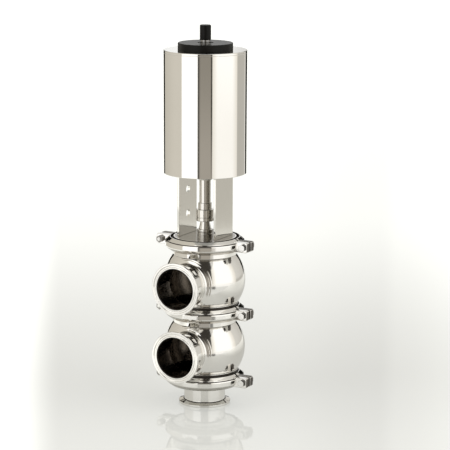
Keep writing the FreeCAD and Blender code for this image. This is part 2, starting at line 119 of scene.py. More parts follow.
def cells(rows, columns, wrap_rows, wrap_columns):
    """Corner numbers of a grid's faces: cell (i, j) joins (i, j), (i, j+1), (i+1, j+1) and (i+1, j)."""
    i, j = np.meshgrid(np.arange(rows if wrap_rows else rows - 1),
                       np.arange(columns if wrap_columns else columns - 1), indexing="ij")
    below, beside = (i + 1) % rows, (j + 1) % columns
    corner = [i * columns + j, i * columns + beside, below * columns + beside, below * columns + j]
    return np.stack(corner, -1).reshape(-1, 4)


def rounded(points, closed=True, steps=4, rim=0.12):
    """Profile with round corners. A corner (r, z, radius) becomes the arc that touches both its sides: its
    ends lie radius / tan(half the corner's angle) from the corner, and one point stands rim further out."""
    count, out = len(points), []
    for k in range(count):
        here = np.array(points[k][:2], float)
        radius = points[k][2] if len(points[k]) > 2 else 0.0
        if radius <= 0 or (not closed and k in (0, count - 1)):
            out.append(here[None])
            continue
        to_before = np.array(points[k - 1][:2], float) - here
        to_after = np.array(points[(k + 1) % count][:2], float) - here
        reach_before, reach_after = np.linalg.norm(to_before), np.linalg.norm(to_after)
        a, b = to_before / reach_before, to_after / reach_after
        half = math.acos(max(-1.0, min(1.0, float(a @ b)))) / 2
        if half > math.radians(89):
            out.append(here[None])
            continue
        touch = min(radius / math.tan(half), 0.45 * reach_before, 0.45 * reach_after)
        radius = touch * math.tan(half)
        centre = here + (a + b) / np.linalg.norm(a + b) * radius / math.sin(half)
        turn = math.pi - 2 * half
        t = np.linspace(0, 1, steps + 1)[:, None]
        start, end = (here + a * touch - centre), (here + b * touch - centre)
        arc = centre + (np.sin((1 - t) * turn) * start + np.sin(t * turn) * end) / math.sin(turn)
        before = here + a * (touch + min(rim, 0.3 * (reach_before / 2 - touch)))
        after = here + b * (touch + min(rim, 0.3 * (reach_after / 2 - touch)))
        out.append(np.vstack([before, arc, after]))
    return np.vstack(out)


def turned(profile, steps=192, start=0.0, sweep=360.0):
    """Grid of a turned surface: profile point (r, z) at angle a lies at (r cos a, r sin a, z)."""
    whole = abs(sweep - 360.0) < 1e-6
    a = np.radians(start + sweep * np.arange(steps if whole else steps + 1) / steps)
    r, z = profile[:, :1], profile[:, 1:2]
    return np.stack([r * np.cos(a), r * np.sin(a), z + 0 * a], -1)


def stacked(outline, levels):
    """Grid of a pad: the outline, drawn inwards by each level's inset, at that level's height."""
    rows = [(outline(inset), height) for height, inset in levels]
    return np.stack([np.column_stack([row, np.full(len(row), height)]) for row, height in rows])


def edge_levels(low, high, edge, steps=3, rim=0.12):
    """Levels of a pad whose two edges are quarter circles: at angle t the height is edge (1 - sin t) from the
    end and the inset edge (1 - cos t)."""
    t = np.radians(np.linspace(90, 0, steps + 1))
    bottom = np.column_stack([low + edge * (1 - np.sin(t)), edge * (1 - np.cos(t))])
    first = [(low, edge + rim)] + [tuple(v) for v in bottom] + [(low + edge + rim, 0.0)]
    return first + [(low + high - z, inset) for z, inset in first[::-1]]


def box_outline(half_x, half_y, corner, steps=4):
    """Rectangle with round corners: a quarter circle round each corner's centre."""
    def outline(inset):
        r = max(corner - inset, 0.02)
        a = np.radians(np.linspace(0, 90, steps + 1))
        arc = np.column_stack([np.cos(a), np.sin(a)]) * r
        x, y = half_x - inset - r, half_y - inset - r
        turns = [(1, 1, arc), (-1, 1, arc[::-1]), (-1, -1, arc), (1, -1, arc[::-1])]
        return np.vstack([(quarter + [x, y]) * [sx, sy] for sx, sy, quarter in turns])
    return outline


def hex_outline(across_flats, corner=0.35, steps=2):
    """Regular hexagon whose corners are small arcs."""
    def outline(inset):
        reach = (across_flats / 2 - inset) / math.cos(math.radians(30))
        angles = np.radians(60 * np.arange(6) + 30)
        points = [(reach * math.cos(t), reach * math.sin(t), corner) for t in angles]
        return rounded(points, steps=steps, rim=0.05)
    return outline


def along(grid, origin, direction, up=(0, 0, 1)):
    """The grid with its own Z axis laid along a direction and its origin moved to a point, in millimetres."""
    z = Vector(direction).normalized()
    x = Vector(up).cross(z)
    x = x.normalized() if x.length > 1e-6 else Vector((1, 0, 0))
    y = z.cross(x)
    return grid @ np.array([x, y, z]) + np.array(origin, float)


# %% [markdown]
# From grids to an object
#
# One function joins the grids of a piece into a mesh. It merges the points where grids meet and where a
# profile touches the axis, closes open ends with one flat face, and turns all faces outwards. The piece
# then moves with its CAD body, hides the node it stands for and wears one finish.

# %% Mesh builder
SHARP = 40.0
made = []


def slot_of(finish):
    """The record's word for a finish, which is the first two words of the material's name."""
    return "_".join(finish.name.split("_")[:2])


def piece(name, grids, finish, node, body="valve_body", caps=False):
    """One finished object that stands for a CAD node. A grid is (points, wrap_rows, wrap_columns), its points
    are (rows, columns, 3) millimetres, and caps closes its first and last row."""
    points, faces, offset = [], [], 0
    for grid, wrap_rows, wrap_columns in grids:
        rows, columns = grid.shape[:2]
        points.append(grid.reshape(-1, 3))
        faces += (cells(rows, columns, wrap_rows, wrap_columns) + offset).tolist()
        if caps and not wrap_rows:
            faces += [(np.arange(columns) + offset + first).tolist() for first in (0, (rows - 1) * columns)]
        offset += rows * columns
    mesh = bpy.data.meshes.new(name)
    mesh.from_pydata((np.vstack(points) * MM).tolist(), [], faces)
    work = bmesh.new()
    work.from_mesh(mesh)
    bmesh.ops.remove_doubles(work, verts=work.verts, dist=1e-7)
    bmesh.ops.dissolve_degenerate(work, edges=work.edges, dist=1e-8)
    bmesh.ops.recalc_face_normals(work, faces=work.faces)
    open_edges = sum(1 for e in work.edges if len(e.link_faces) != 2)
    work.to_mesh(mesh)
    work.free()
    mesh.polygons.foreach_set("use_smooth", np.ones(len(mesh.polygons), bool))
    mesh.set_sharp_from_angle(angle=math.radians(SHARP))
    obj = bpy.data.objects.new(name, mesh)
    bpy.context.scene.collection.objects.link(obj)
    mesh.materials.append(finish)
    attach(obj, body)
    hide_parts(node)
    made.append((name, len(mesh.polygons), open_edges))
    return obj


def lathe(name, loop, finish, node, steps=192, body="valve_body"):
    """Turned piece. A loop that keeps off the axis makes a ring; one that starts and ends on it, a solid."""
    closed = loop[0][0] > 0
    return piece(name, [(turned(rounded(loop, closed), steps), closed, True)], finish, node, body)


def face_places(obj):
    """Centre (in millimetres) and normal of every face."""
    mesh = obj.data
    centre, normal = np.empty(len(mesh.polygons) * 3), np.empty(len(mesh.polygons) * 3)
    mesh.polygons.foreach_get("center", centre)
    mesh.polygons.foreach_get("normal", normal)
    return centre.reshape(-1, 3) / MM, normal.reshape(-1, 3)


def refinish(obj, chosen, finish):
    """Gives the chosen faces another finish."""
    mesh = obj.data
    mesh.materials.append(finish)
    index = np.empty(len(mesh.polygons), np.int32)
    mesh.polygons.foreach_get("material_index", index)
    index[chosen] = len(mesh.materials) - 1
    mesh.polygons.foreach_set("material_index", index)


# %% [markdown]
# Shader formulas
#
# A finish is easier to read as a formula than as a web of nodes. The class below wraps a shader socket, so
# that `0.08 + 0.05 * marks` adds the Math nodes for that sum. Any other node comes from one method, which
# sets the node's options first and then its sockets.

# %% Shader helper


class Value:
    """A shader socket that can be used in formulas on numbers."""

    def __init__(self, tree, socket):
        self.tree, self.socket = tree, socket

    def math(self, operation, *others):
        """A Math node with this socket first."""
        return self.tree.node("ShaderNodeMath", {"operation": operation}, dict(enumerate([self, *others])))

    def __add__(self, other):
        return self.math("ADD", other)

    __radd__ = __add__

    def __mul__(self, other):
        return self.math("MULTIPLY", other)

    __rmul__ = __mul__

    def __sub__(self, other):
        return self.math("SUBTRACT", other)

    def __rsub__(self, other):
        return self.tree.node("ShaderNodeMath", {"operation": "SUBTRACT"}, {0: other, 1: self})

    def __truediv__(self, other):
        return self.math("DIVIDE", other)

    def __pow__(self, other):
        return self.math("POWER", other)

    def between(self, low, high):
        """0 below low, 1 above high and a smooth rise from one to the other."""
        return self.tree.node("ShaderNodeMapRange", {"interpolation_type": "SMOOTHSTEP"},
                              {"Value": self, "From Min": low, "From Max": high})


class Tree:
    """The node tree of a material or of the world, with one method that adds any node."""

    def __init__(self, owner):
        owner.use_nodes = True
        self.tree = owner.node_tree
        self.tree.nodes.clear()

    def node(self, kind, settings=None, inputs=None, out=0):
        """Adds a node and gives its output number out, or several where out is a list of numbers."""
        added = self.tree.nodes.new(kind)
        for key, value in (settings or {}).items():
            setattr(added, key, value)
        for key, value in (inputs or {}).items():
            if isinstance(value, Value):
                self.tree.links.new(value.socket, added.inputs[key])
            else:
                added.inputs[key].default_value = value
        outputs = [Value(self, s) for s in added.outputs]
        return outputs[out] if isinstance(out, int) else [outputs[k] for k in out]

    def ends_with(self, kind, shader):
        """Leads a shader to the output of the material or the world."""
        output = self.tree.nodes.new("ShaderNodeOutput" + kind)
        self.tree.links.new(shader.socket, output.inputs["Surface"])

    def place(self):
        """Position on the piece in its own coordinates, in metres."""
        return self.node("ShaderNodeTexCoord", out=3)

    def parts(self, vector):
        """The three numbers of a vector."""
        return self.node("ShaderNodeSeparateXYZ", {}, {0: vector}, out=(0, 1, 2))

    def vector(self, x, y, z):
        """A vector from three numbers."""
        return self.node("ShaderNodeCombineXYZ", {}, {0: x, 1: y, 2: z})

    def noise(self, vector, scale, detail=3.0, rough=0.5):
        """Cloudy noise round 0.5, with scale as the number of blots in a metre."""
        return self.node("ShaderNodeTexNoise", {}, {"Vector": vector, "Scale": scale, "Detail": detail,
                                                    "Roughness": rough})

    def blend(self, share, first, second):
        """Colour that goes from first to second as share goes from 0 to 1."""
        return self.node("ShaderNodeMix", {"data_type": "RGBA"}, {0: share, 6: first, 7: second}, out=2)

    def layered(self, base, *layers):
        """Lays colours over a base one after another; a layer is (share, colour)."""
        for share, colour in layers:
            base = self.blend(share, base, colour)
        return base


def rgb(r, g, b, strength=1.0):
    """Colour with its alpha, made darker or brighter by the strength."""
    return (strength * r, strength * g, strength * b, 1.0)


def finished(name, colour, roughness, bump=None, metallic=1.0, specular=0.5):
    """Material whose colour, roughness and bump are made by functions of the tree and the place on the piece.
    A bump is (height formula, depth in metres)."""
    material = bpy.data.materials.new(name)
    tree = Tree(material)
    spot = tree.place()
    inputs = {"Metallic": metallic, "Base Color": colour(tree, spot), "Roughness": roughness(tree, spot),
              "Specular IOR Level": specular}
    if bump:
        height, depth = bump
        inputs["Normal"] = tree.node("ShaderNodeBump", {}, {"Strength": 1.0, "Distance": depth,
                                                            "Height": height(tree, spot)})
    tree.ends_with("Material", tree.node("ShaderNodeBsdfPrincipled", {}, inputs))
    return material


# %% [markdown]
# Steel finishes
#
# Stainless steel has one colour, a faintly warm grey, and its look comes from what was done to the surface.
# The cylinder and the balls are buffed to a mirror, with fine lines left round the axis and a slight haze.
# Clamps are cast and tumbled, so their mirror is a little wavy. Turned parts keep the rings of the tool,
# and the yoke plates are brushed along their length. A few finishes are darker than their steel: they are
# painted shade and painted reflection, on faces that lie in shade or mirror the dark sides of the studio.

# %% Steel
FEED, FINE_FEED = 0.4 * MM, 0.25 * MM
# Pickled colours of the inside of the ports and balls, made dark as painted shade.
PICKLED_DARK, PICKLED_LIGHT = rgb(0.20, 0.18, 0.16), rgb(0.56, 0.52, 0.47)


def lathe_lines(tree, spot, axis, pitch):
    """Noise that changes only along the axis and with the radius, so it draws rings round the axis. The axis
    is "z", or the height of a port's axis, which runs along Y."""
    x, y, z = tree.parts(spot)
    across, height = (y, z) if axis == "z" else (z - axis, y)
    radius = (x * x + across * across) ** 0.5
    return tree.noise(tree.vector(radius / pitch, height / pitch, 0.0), 1.0, 2.0)


def inside_port(tree, spot, centre):
    """1 within the bore of a side port and within the ball behind it, else 0."""
    x, y, z = tree.parts(spot)
    dz = z - centre
    from_axis = (x * x + dz * dz) ** 0.5
    from_centre = (x * x + y * y + dz * dz) ** 0.5
    bore = (1 - from_axis.between((TUBE_R - 0.3) * MM, TUBE_R * MM)) * (1 - y.between(-2.0 * MM, 0.0))
    shell = 1 - from_centre.between((ball_r - 1.2) * MM, (ball_r - 0.8) * MM)
    return bore.math("MAXIMUM", shell)


def steel(name, axis="z", base=(0.79, 0.775, 0.745), haze=0.06, spread=0.05, lines=0.25, depth=2e-6,
          wave=0.0, hollow=None):
    """Stainless steel. Roughness is haze, plus spread times the smudges, plus spread times lines times the
    lathe lines. With hollow, the height of a port's axis, the bore and the ball's inside are pickled and
    darkened as painted shade: patchy, dark and rougher."""
    def colour(tree, spot):
        outside = tree.blend(tree.noise(spot, 22.0, 4.0), rgb(*base, 0.94), rgb(*base))
        if hollow is None:
            return outside
        # The bore and the ball's inside: pickled patches, darkened as painted shade.
        pickled = tree.blend(tree.noise(spot, 55.0, 5.0, 0.6), PICKLED_DARK, PICKLED_LIGHT)
        return tree.blend(inside_port(tree, spot, hollow), outside, pickled)

    def roughness(tree, spot):
        smudge = tree.noise(spot, 14.0, 5.0, 0.6).between(0.35, 0.75)
        worn = haze + spread * smudge + spread * lines * lathe_lines(tree, spot, axis, FEED)
        return worn if hollow is None else worn + 0.12 * inside_port(tree, spot, hollow)

    def height(tree, spot):
        rings = lathe_lines(tree, spot, axis, FINE_FEED)
        return rings + wave * tree.noise(spot, 90.0, 2.0) if wave else rings

    return finished(name, colour, roughness, (height, depth))


def brushed(name, base=(0.82, 0.80, 0.75)):
    """Sheet steel brushed along Z: noise stretched a hundredfold along the grain."""
    def grain(tree, spot):
        x, y, z = tree.parts(spot)
        return tree.noise(tree.vector(x * 2600, y * 2600, z * 26), 1.0, 3.0, 0.6)

    def colour(tree, spot):
        return tree.blend(grain(tree, spot), rgb(*base, 0.86), rgb(*base))

    def roughness(tree, spot):
        return 0.07 + 0.08 * grain(tree, spot) + 0.03 * tree.noise(spot, 30.0, 3.0)

    return finished(name, colour, roughness, (grain, 2.5e-6))


def lid_steel():
    """The cover's top. Its colour is a painted reflection of the tool's lines: bright on one side, with painted
    shade at the picture's right.
    """
    def colour(tree, spot):
        x, y, _ = tree.parts(spot)
        # Painted shade: darker towards the camera's right.
        rightwards = 0.87 * x + 0.48 * y
        return tree.blend(rightwards.between(20 * MM, 48 * MM), rgb(0.80, 0.79, 0.76), rgb(0.40, 0.38, 0.34))

    def roughness(tree, spot):
        return 0.06 + 0.05 * lathe_lines(tree, spot, "z", FEED)

    return finished("polished_steel_lid", colour, roughness)


# %% Steel of the bodies, the clamps and the moving parts
polished = steel("polished_steel_body", haze=0.05, depth=1e-6)
mirror = steel("polished_steel_cylinder", haze=0.03, spread=0.03, depth=0.6e-6)
lid = lid_steel()
ball_steel, port_steel = {}, {}
for n in BALLS:
    port_axis = float(ball_z[n]) * MM
    ball_steel[n] = steel("polished_steel_ball_" + n, haze=0.07, spread=0.06, depth=1e-6, hollow=port_axis)
    port_steel[n] = steel("polished_steel_port_" + n, axis=port_axis, spread=0.06, hollow=port_axis)
cast = steel("polished_steel_clamp", haze=0.07, depth=5e-6, wave=2.0)
# Clamp steels darkened as painted shade: one for the flank below, one for the ear ends and gap faces.
cast_low = steel("polished_steel_clamp_low", base=(0.47, 0.45, 0.41), haze=0.09, depth=5e-6, wave=2.0)
cast_skin = steel("polished_steel_clamp_ends", base=(0.10, 0.09, 0.08), haze=0.34, spread=0.12, depth=3e-5,
                  wave=2.0)
machined = steel("polished_steel_turned", base=(0.68, 0.66, 0.625), haze=0.05, lines=0.8, depth=3e-6)
# Faced steel: the tool's rings, and a dark colour that is painted shade.
faced = steel("polished_steel_faced", base=(0.27, 0.255, 0.225), haze=0.16, spread=0.08, lines=0.9,
              depth=8e-6)
# Near-black steel: painted shade in crevices, under the clamps, at bore edges and round bolt heads.
crevice = steel("polished_steel_crevice", base=(0.045, 0.04, 0.035), haze=0.30, spread=0.12)
# Dark steel for parts deep inside the valve: painted shade.
pickled = steel("polished_steel_inside", base=(0.26, 0.235, 0.21), haze=0.16, spread=0.12, depth=6e-6)
bright_fastener = steel("fastener_steel_bright", base=(0.76, 0.75, 0.73), haze=0.14, spread=0.10, depth=5e-6,
                        wave=1.0)
dull_fastener = steel("fastener_steel_dull", base=(0.27, 0.26, 0.245), haze=0.18, spread=0.10, depth=5e-6,
                      wave=1.0)
brushed_plate = brushed("brushed_steel_plate")
# Brushed steel darkened as painted shade, for a plate's inner face.
brushed_dull = brushed("brushed_steel_dull", (0.36, 0.34, 0.30))
spring_wire = steel("spring_steel_wire", base=(0.42, 0.42, 0.43), haze=0.3, spread=0.15, depth=1e-5, wave=1.0)
alloy = steel("piston_alloy_turned", base=(0.77, 0.78, 0.79), haze=0.28, spread=0.12, lines=0.9, depth=1e-5)

# %% [markdown]
# Plastics and rubber
#
# The cap and the knob are moulded in black plastic with a fine eroded texture, a little paler where hands
# have rubbed it. Seals are smooth black rubber, and guide bushes are off-white plastic that feels waxy.

# %% Plastics


def moulded(name, dark, light, haze, grain, depth, sheen=0.5):
    """Moulded plastic: two close colours mixed by slow noise, and a fine grain in roughness and height."""
    def colour(tree, spot):
        return tree.blend(tree.noise(spot, 60.0, 5.0, 0.6).between(0.35, 0.8), rgb(*dark), rgb(*light))

    def roughness(tree, spot):
        return haze + 0.12 * tree.noise(spot, 160.0, 4.0)

    def height(tree, spot):
        return tree.noise(spot, grain, 3.0, 0.65)

    return finished(name, colour, roughness, (height, depth), 0.0, sheen)


black_plastic = moulded("black_plastic_moulded", (0.006, 0.006, 0.005), (0.012, 0.011, 0.010), 0.26, 2600.0,
                        3e-5, sheen=0.12)
rubber = moulded("seal_rubber_black", (0.010, 0.010, 0.010), (0.020, 0.020, 0.020), 0.5, 900.0, 2e-5)
bush_plastic = moulded("bearing_plastic_natural", (0.74, 0.71, 0.63), (0.82, 0.80, 0.74), 0.38, 700.0, 1e-5)
print(len(bpy.data.materials), "finishes")

# %% [markdown]
# Clamp ferrules
#
# Each port ends in a ferrule, the small flange that a clamp grips: a flat face with a groove for the
# gasket's bead, a thin rim, a back that slopes at 20 degrees and a tight fillet down to the tube. One
# profile serves all three ports; the side ports are laid along the port axis.

# %% Ferrules
FOOT_SHADE_R = 27.4
BORE_EDGE = 1.2


def groove(r, face, side=1, half=1.5, depth=1.2, fillet=0.4):
    """Corners of a gasket groove in a face, from the inside out; side is +1 where it is cut upwards."""
    floor = face + side * depth
    return [(r - half, face, 0.2), (r - half / 2, floor, fillet), (r + half / 2, floor, fillet),
            (r + half, face, 0.2)]


def ferrule_loop(length, weld=0.0):
    """Loop of a ferrule standing on its face; weld raises a bead at the far end of the tube."""
    slope_end = RIM + (ferrule_r - TUBE_R) * SLOPE
    points = [(BORE_R + BORE_EDGE, 0, 0.3)] + groove((BORE_R + ferrule_r) / 2, 0, 1, 1.6, 1.1, 0.5)
    points += [(ferrule_r, 0, 0.5), (ferrule_r, RIM, 0.35), (TUBE_R, slope_end, 1.3)]
    if weld:
        points += [(TUBE_R, length - 3.0, 0.3), (TUBE_R + weld, length - 2.4, 0.4),
                   (TUBE_R + weld, length - 0.6, 0.4)]
    return points + [(TUBE_R, length, 0.1), (BORE_R, length, 0.1), (BORE_R, 1.0, 0.5)]


foot_top = corners("bottom_ferrule")[1][2]
obj = lathe("bottom_ferrule_turned", ferrule_loop(foot_top), polished, "bottom_ferrule")
place, normal = face_places(obj)
from_axis = np.hypot(place[:, 0], place[:, 1])
# Painted shade on the sloped back of the foot ferrule, next to the tube.
refinish(obj, (from_axis > TUBE_R + 0.03) & (from_axis < FOOT_SHADE_R) & (normal[:, 2] > 0.2), crevice)
for n in BALLS:
    grid = turned(rounded(ferrule_loop(port_weld - port_face, weld=0.18)))
    laid = along(grid, (0, port_face, ball_z[n]), (0, 1, 0))
    obj = piece(n + "_port_turned", [(laid, True, True)], port_steel[n], n + "_port")
    place, _ = face_places(obj)
    from_axis = np.hypot(place[:, 0], place[:, 2] - ball_z[n])
    # Painted shade on the chamfer at the bore's mouth and just inside it.
    refinish(obj, (from_axis < BORE_R + BORE_EDGE + 0.05) & (place[:, 1] < port_face + 1.1), crevice)

# %% [markdown]
# The three large joints
#
# Between the balls sit larger flanges of the same kind, 91 mm across. The ball's flanges are rings welded
# to the ball; the bottom one is a disc with the lower seat on top.

# %% Large flanges
HUB_R, COLLAR_R, HUB_BORE_R = 39.0, 41.6, 36.45
GROOVE_R = (HUB_BORE_R + flange_r) / 2 + 0.6
SHADED_BELOW, SHADED_ABOVE = 7.6, 8.9


def flange_side(face, side, inner, hub=HUB_R):
    """Corners of a flange from its bore over the face to the hub; side is +1 for a flange above the joint."""
    rim = face + side * RIM
    return [(inner, face, 0.3)] + groove(GROOVE_R, face, side) + [
        (flange_r, face, 0.4), (flange_r, rim, 0.4), (hub, rim + side * (flange_r - hub) * SLOPE, 1.0)]


def in_clamp(obj, mid):
    """Paints shade on what a clamp covers and shades: near-black steel on the flange and its hub to a little
    past the clamp's lips.
    """
    up = face_places(obj)[0][:, 2] - mid
    refinish(obj, (up < SHADED_ABOVE) & (up > -SHADED_BELOW), crevice)


for n in BALLS:
    for where, side in (("under", 1), ("top", -1)):
        node = f"{n}_flange_{where}"
        low, high = corners(node)
        face, weld = (low[2], high[2]) if side > 0 else (high[2], low[2])
        hub = COLLAR_R if side > 0 else HUB_R
        loop = flange_side(face, side, HUB_BORE_R, hub) + [(hub, weld, 0.5), (HUB_BORE_R, weld, 0.15)]
        in_clamp(lathe(node + "_turned", loop, polished, node), face - side * GASKET_HALF)

# %% Bottom flange with the lower seat
SEAT_OUT, SEAT_IN, SEAT_LIP, BOSS_R = 29.0, 25.0, 1.2, HUB_BORE_R - 0.25
low, high = corners("bottom_flange")
stub, top = low[2], high[2] - SEAT_LIP
face = joint_z["lower"] - GASKET_HALF
under = face - RIM - (flange_r - HUB_R) * SLOPE - 1.0
loop = [(TUBE_R, stub, 0.1), (TUBE_R + 0.9, stub + 2.1, 1.5), (TUBE_R + 3.0, under, 1.5), (HUB_R, under, 0.3),
        (HUB_R, under + 1.0, 0.4), (flange_r, face - RIM, 0.4), (flange_r, face, 0.4)]
loop += groove(GROOVE_R, face, -1)[::-1]
loop += [(BOSS_R, face, 0.2), (BOSS_R, top + SEAT_LIP, 0.5), (BOSS_R - 0.6, top + SEAT_LIP, 0.3),
         (SEAT_OUT, top, 0.3), (SEAT_IN, top - 4.0, 0.3), (SEAT_IN, top - 7.5, 0.8),
         (BORE_R, top - 10.0, 0.8), (BORE_R, stub, 0.1)]
obj = lathe("bottom_flange_turned", loop, polished, "bottom_flange")
# Painted shade on the bottom flange above its underside, under the clamp and inside the valve.
refinish(obj, face_places(obj)[0][:, 2] > under + 0.9, crevice)

# %% [markdown]
# The balls
#
# A ball body is a pressed shell cut flat above and below, with a neck pulled out of its side. The sphere is
# a grid of longitude and latitude, but the neck is round about another axis, and a boolean would leave
# slivers that a mirror finish shows. So a window is left in the grid. It is filled by a second grid that
# runs from the window's edge along great circles to the neck, over the flare, round the weld end and back
# inside.

# %% Ball shells
FLARE = 3.5
NECK_WALL = TUBE_R - BORE_R
FLARE_R = TUBE_R + FLARE
FLARE_FAR = ball_r + FLARE - 0.1
FLARE_Y = math.sqrt(FLARE_FAR ** 2 - FLARE_R ** 2)
FLARE_TURN = math.atan2(FLARE_R, FLARE_Y)
WELD_LOW = ball_z["lower"] - corners("lower_flange_under")[1][2]
WELD_HIGH = corners("lower_flange_top")[0][2] - ball_z["lower"]
WINDOW, WINDOW_CELLS = 45.0, 48
BEADS, BEAD_HALF, BEAD_HIGH = (35.6, 38.6), 1.2, 0.1


def on_sphere(radius, longitude, latitude):
    """Longitude 0 points along -Y: (radius cos lat sin lon, -radius cos lat cos lon, radius sin lat)."""
    return np.stack([radius * np.cos(latitude) * np.sin(longitude),
                     -radius * np.cos(latitude) * np.cos(longitude),
                     radius * np.sin(latitude) + 0 * longitude], -1)


def latitudes(radius, rows=WINDOW_CELLS):
    """Latitudes between the flat cut below and the one above."""
    return np.linspace(-math.asin(WELD_LOW / radius), math.asin(WELD_HIGH / radius), rows + 1)


def shell_band(radius, columns=144):
    """The sphere between its two flat cuts, without the window."""
    longitudes = np.radians(np.linspace(WINDOW, 360 - WINDOW, columns + 1))
    return on_sphere(radius, longitudes[None, :], latitudes(radius)[:, None])


def window_edge(radius, count=WINDOW_CELLS):
    """Points round the window's edge, in the same places as the band's own points."""
    side, up = math.radians(WINDOW), latitudes(radius)
    across = np.linspace(-side, side, count + 1)
    lon = np.concatenate([np.full(count, side), across[::-1][:-1], np.full(count, -side), across[:-1]])
    lat = np.concatenate([up[:-1], np.full(count, up[-1]), up[::-1][:-1], np.full(count, up[0])])
    return on_sphere(radius, lon, lat)


def window_fill(radius, flare, rows=40, bead=0.0):
    """Great circles from the window's edge to the neck: at share t the angle from the port axis goes from the
    edge's own angle to the flare's, and the direction round the axis stays. Shallow beads, left where the
    neck was drawn, run round its root and fade out at both ends of t."""
    edge = window_edge(radius) / radius
    around = np.arctan2(edge[:, 2], edge[:, 0])
    outer = np.arccos(-edge[:, 1])
    last = math.pi - FLARE_TURN
    r_end, y_end = FLARE_R - flare * math.sin(last), -FLARE_Y - flare * math.cos(last)
    inner = math.atan2(r_end, -y_end)
    t = np.linspace(0, 1, rows + 1)[:, None]
    angle = outer[None, :] * (1 - t) + inner * t
    reach = radius + (math.hypot(r_end, y_end) - radius) * t ** 2
    for turn in BEADS:
        ridge = (np.cos(np.clip((np.degrees(angle) - turn) / BEAD_HALF, -1, 1) * math.pi) + 1) / 2
        reach = reach + bead * ridge * np.clip(8 * t * (1 - t), 0, 1)
    return np.stack([reach * np.sin(angle) * np.cos(around), -reach * np.cos(angle),
                     reach * np.sin(angle) * np.sin(around)], -1), around


def flare_rows(flare, around, steps=10):
    """Quarter-like arc from the sphere to the tube, turned round the port axis."""
    a = np.linspace(math.pi - FLARE_TURN, math.pi / 2, steps + 1)[1:, None]
    r, y = FLARE_R - flare * np.sin(a), -FLARE_Y - flare * np.cos(a)
    return np.stack([r * np.cos(around), y + 0 * around, r * np.sin(around)], -1)


def ball_grids(centre, count=WINDOW_CELLS):
    """Every grid of a ball shell: bands, the window grid that carries the neck, and flat cuts."""
    inside = ball_r - BALL_WALL
    outer, inner = shell_band(ball_r), shell_band(inside)
    fill_out, around_out = window_fill(ball_r, FLARE, bead=BEAD_HIGH)
    fill_in, around_in = window_fill(inside, FLARE + NECK_WALL)
    neck = np.concatenate([fill_out, flare_rows(FLARE, around_out),
                           flare_rows(FLARE + NECK_WALL, around_in)[::-1], fill_in[::-1]])
    window_out, window_in = window_edge(ball_r), window_edge(inside)
    top, bottom = slice(count, 2 * count + 1), np.r_[3 * count:4 * count, 0]
    cuts = [(outer[0], inner[0]), (outer[-1], inner[-1]), (window_out[top], window_in[top]),
            (window_out[bottom], window_in[bottom])]
    grids = [(outer, False), (inner, False), (neck, True)] + [(np.stack(pair), False) for pair in cuts]
    return [(grid + np.array([0, 0, centre]), False, wraps) for grid, wraps in grids]


for n in BALLS:
    piece(n + "_ball_shell", ball_grids(ball_z[n]), ball_steel[n], n + "_body")

# %% [markdown]
# V-band clamps
#
# A clamp is two half rings with a V groove inside that pulls two flanges together. Each half ends in ears,
# and a bolt with a nut goes through each pair of ears. The ring is a profile swept over half a turn, and an
# ear is a pad with rounded edges.

# %% Clamp halves
GAP, GAP_R, LIP_R, LIP_HIGH = 1.5, 45.0, COLLAR_R + 0.7, 8.0
CROWN = [(46.9, 5.1, 0.6), (47.7, 4.3, 0.3), (48.0, 3.7, 0.2), (48.6, 3.4, 0.3)]
EAR_ROOT, EAR_Y, EAR_HIGH = 44.0, 9.0, 6.2
EAR_OPEN, EAR_TOP, FLANK_END = 49.2, 46.0, 49.0
CREASE_R, CREASE_UP = (47.5, 48.5), (3.4, 4.5)


def clamp_loop(mid):
    """Loop of the V-band: lip, sloped flank, stepped crown, and the groove that grips the flanges."""
    outer = [(LIP_R, LIP_HIGH, 0.3), (LIP_R + 1.0, LIP_HIGH, 0.5)] + CROWN + [(clamp_r, 2.2, 0.7)]
    inner = [(flange_r + 0.5, 3.95, 0.3), (LIP_R, 4.15 + (flange_r - LIP_R) * SLOPE, 0.3)]
    loop = [(r, mid - z, f) for r, z, f in outer] + [(r, mid + z, f) for r, z, f in outer[::-1]]
    return loop + [(r, mid + z, f) for r, z, f in inner[::-1]] + [(r, mid - z, f) for r, z, f in inner]


def clamp_half(mid, side):
    """Half ring and its two ears; side is -1 for the half towards the ports."""
    lean = math.degrees(math.asin(GAP / GAP_R))
    start = 180 + lean if side < 0 else lean
    band = turned(rounded(clamp_loop(mid)), 96, start, 180 - 2 * lean)
    grids = [(np.swapaxes(band, 0, 1), False, True)]
    thick = (EAR_Y - GAP) / 2
    for s in (-1, 1):
        ear = stacked(box_outline((ear_reach - EAR_ROOT) / 2, EAR_HIGH, 1.8), edge_levels(-thick, thick, 0.7))
        middle = (s * (ear_reach + EAR_ROOT) / 2, side * (GAP + thick), mid)
        grids.append((along(ear, middle, (0, 1, 0)), False, True))
    return grids


